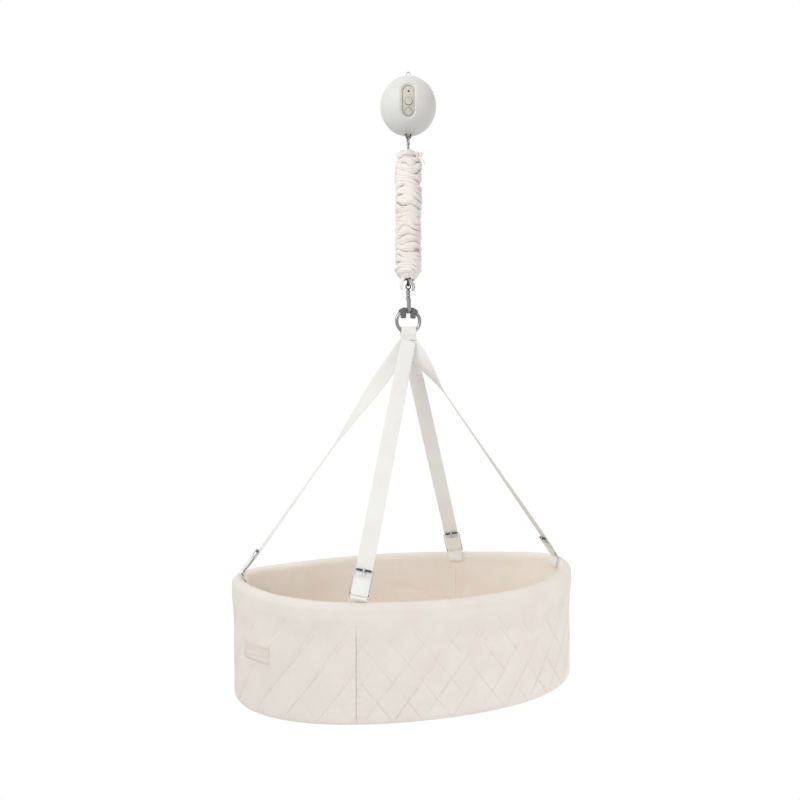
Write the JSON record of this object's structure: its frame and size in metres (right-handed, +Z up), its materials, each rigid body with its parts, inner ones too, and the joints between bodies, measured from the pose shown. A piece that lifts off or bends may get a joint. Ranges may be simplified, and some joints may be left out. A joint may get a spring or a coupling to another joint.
{
  "type": "hanging baby cradle",
  "caption": "Quilted oval basket hung by buckled webbing straps from a ring, a snap hook and a coil spring in a gathered sleeve, under a ball-shaped lifting motor with a ceiling eye.",
  "frame": {"origin": "highest point inside the ceiling eye, where a ceiling hook carries the cradle", "axes": "+Z up along the hanging line; +X along the basket; -Y towards the side that the buckles face"},
  "size_m": [0.7874, 0.4354, 1.3975],
  "materials": {
    "shell": "fine matte",
    "panel": "satin",
    "lens": "gloss",
    "steel": "zinc plated",
    "frame_steel": "bright",
    "dark_plastic": "matte",
    "board": "satin",
    "chrome": "nickel plated",
    "sleeve_cloth": "plain woven cotton",
    "grey_ribbon": "woven",
    "stop_rubber": "matte",
    "webbing": "woven webbing",
    "quilt": "quilted cotton",
    "lining": "plain cotton",
    "mattress_cloth": "plain cotton",
    "hoop_plastic": "matte",
    "board_wood": "plywood",
    "label_cloth": "woven satin"
  },
  "bodies": {
    "motor_unit": {"ceiling_eye": "steel", "eye_nut": "steel", "shell_front": "shell", "shell_rear": "shell", "shell_screw_left": "steel", "shell_screw_right": "steel", "control_panel": "panel", "indicator_lens": "lens", "load_frame": "frame_steel", "gearbox": "dark_plastic", "gear_motor": "steel", "battery_pack": "dark_plastic", "circuit_board": "board", "guide_bush": "dark_plastic", "lift_belt": "webbing"},
    "power_button": {"power_button": "panel"},
    "mode_button": {"mode_button": "panel"},
    "winch_spool": {"winch_spool": "frame_steel"},
    "lift_eye": {"lift_eye": "steel"},
    "upper_hook": {"upper_hook": "chrome", "upper_hook_pin": "steel"},
    "upper_gate": {"upper_gate": "chrome"},
    "spring_hanger": {"upper_swivel": "chrome", "coil_spring": "steel", "spring_sleeve": "sleeve_cloth"},
    "lower_hook": {"lower_hook": "chrome", "lower_hook_pin": "steel", "lower_eye": "chrome", "sleeve_tie": "sleeve_cloth", "sleeve_tab": "grey_ribbon"},
    "lower_gate": {"lower_gate": "chrome"},
    "basket": {"carrier_ring": "chrome", "ring_stop_left": "stop_rubber", "ring_stop_right": "stop_rubber", "strap_crown": "webbing", "strap_front": "webbing", "strap_left": "webbing", "strap_right": "webbing", "strap_back": "webbing", "buckle_front": "chrome", "buckle_left": "chrome", "buckle_right": "chrome", "buckle_back": "chrome", "rim_tab_front": "webbing", "rim_tab_left": "webbing", "rim_tab_right": "webbing", "rim_tab_back": "webbing", "basket_wall": "quilt", "rim_hoop": "hoop_plastic", "base_board": "board_wood", "basket_lining": "lining", "label_patch": "label_cloth"},
    "prong_front": {"prong_front": "chrome"},
    "prong_left": {"prong_left": "chrome"},
    "prong_right": {"prong_right": "chrome"},
    "prong_back": {"prong_back": "chrome"},
    "mattress": {"mattress": "mattress_cloth"}
  },
  "joints": [
    {"name": "power_button_press", "type": "slide", "parent": "motor_unit", "child": "power_button", "axis": [0.2159, 0.9502, 0.225], "range_m": [0, 0.0015], "stiffness_N_per_m": 800},
    {"name": "mode_button_press", "type": "slide", "parent": "motor_unit", "child": "mode_button", "axis": [0.1845, 0.8122, 0.5534], "range_m": [0, 0.0015], "stiffness_N_per_m": 800},
    {"name": "spool_turn", "type": "hinge", "parent": "motor_unit", "child": "winch_spool", "pos_m": [0.00284, 0.01248, -0.073], "axis": [0.9751, -0.2215, 0], "range_deg": [0, 115]},
    {"name": "lift_slide", "type": "slide", "parent": "motor_unit", "child": "lift_eye", "axis": [0, 0, -1], "range_m": [0, 0.024], "deforming": ["lift_belt"]},
    {"name": "hanger_sway", "type": "hinge", "parent": "lift_eye", "child": "upper_hook", "pos_m": [0, 0, -0.146], "axis": [0, 1, 0], "range_deg": [-25, 25]},
    {"name": "upper_gate_open", "type": "hinge", "parent": "upper_hook", "child": "upper_gate", "pos_m": [0, -0.007, -0.16542], "axis": [-1, 0, 0], "range_deg": [0, 14], "stiffness_Nm_per_rad": 0.05, "springref_deg": -8.59},
    {"name": "upper_swivel_turn", "type": "hinge", "parent": "upper_hook", "child": "spring_hanger", "pos_m": [0, 0, -0.18512], "axis": [0, 0, 1], "continuous": true},
    {"name": "bounce", "type": "slide", "parent": "spring_hanger", "child": "lower_hook", "axis": [0, 0, -1], "range_m": [-0.02, 0.08], "stiffness_N_per_m": 1000, "springref_m": -0.0619, "deforming": ["coil_spring", "spring_sleeve"]},
    {"name": "lower_gate_open", "type": "hinge", "parent": "lower_hook", "child": "lower_gate", "pos_m": [0, 0.00825, -0.52042], "axis": [-1, 0, 0], "range_deg": [0, 14], "stiffness_Nm_per_rad": 0.05, "springref_deg": -8.59},
    {"name": "basket_swing", "type": "hinge", "parent": "lower_hook", "child": "basket", "pos_m": [0, 0, -0.54587], "axis": [1, 0, 0], "range_deg": [-35, 35]},
    {"name": "prong_front_lift", "type": "hinge", "parent": "basket", "child": "prong_front", "pos_m": [-0.1316, -0.16517, -1.0983], "axis": [-0.9446, 0.2854, 0.1623], "range_deg": [0, 80]},
    {"name": "prong_left_lift", "type": "hinge", "parent": "basket", "child": "prong_left", "pos_m": [-0.34079, -0.0001, -1.08584], "axis": [0.0011, 1, 0.0015], "range_deg": [0, 80]},
    {"name": "prong_right_lift", "type": "hinge", "parent": "basket", "child": "prong_right", "pos_m": [0.33511, 0.0001, -1.08992], "axis": [0.0011, 1, -0.0015], "range_deg": [0, 80]},
    {"name": "prong_back_lift", "type": "hinge", "parent": "basket", "child": "prong_back", "pos_m": [0.15128, 0.15378, -1.10088], "axis": [-0.9238, 0.3354, -0.1846], "range_deg": [0, 80]},
    {"name": "mattress_lift", "type": "slide", "parent": "basket", "child": "mattress", "axis": [0, 0, 1], "range_m": [0, 0.15]}
  ],
  "couplings": [
    {"joint": "spool_turn", "follows": "lift_slide", "rad_per_m": 83.333}
  ]
}
